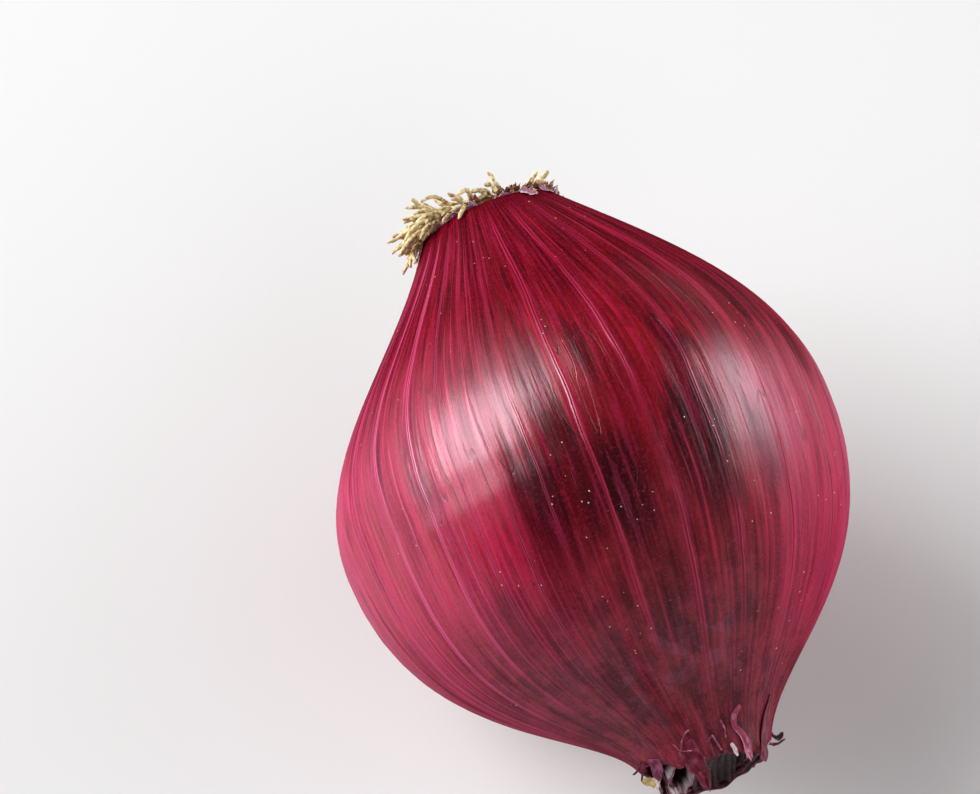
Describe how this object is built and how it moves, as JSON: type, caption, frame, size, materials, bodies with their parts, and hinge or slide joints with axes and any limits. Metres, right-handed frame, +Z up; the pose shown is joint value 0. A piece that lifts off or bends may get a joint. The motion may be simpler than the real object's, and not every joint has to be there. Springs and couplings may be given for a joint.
{
  "type": "red onion",
  "caption": "Whole red onion in its dry crimson skin, with a tuft of dried roots and a cut papery neck, lying on its side on a small flat spot.",
  "frame": {"origin": "centre of the small flat spot on the underside that the onion rests on", "axes": "+Z up from the surface it lies on, root end towards +Y, cut neck towards -Y and dipping a little"},
  "size_m": [0.0745, 0.1, 0.0735],
  "materials": {
    "bulb_skin": "satin",
    "dried_root": "matte",
    "crimson_skin": "satin",
    "pink_skin": "satin",
    "dark_skin": "matte",
    "straw_skin": "matte"
  },
  "bodies": {
    "root": {"bulb": "bulb_skin", "root_crown": "dried_root", "neck_tube": "crimson_skin", "neck_sheath": "dark_skin", "neck_strip_twisted": "crimson_skin", "neck_strip_right": "crimson_skin", "neck_ribbon": "pink_skin", "neck_curl_right": "dark_skin", "neck_flap_tan": "straw_skin", "neck_flap_purple": "crimson_skin", "neck_shred_left": "dark_skin"}
  },
  "joints": []
}
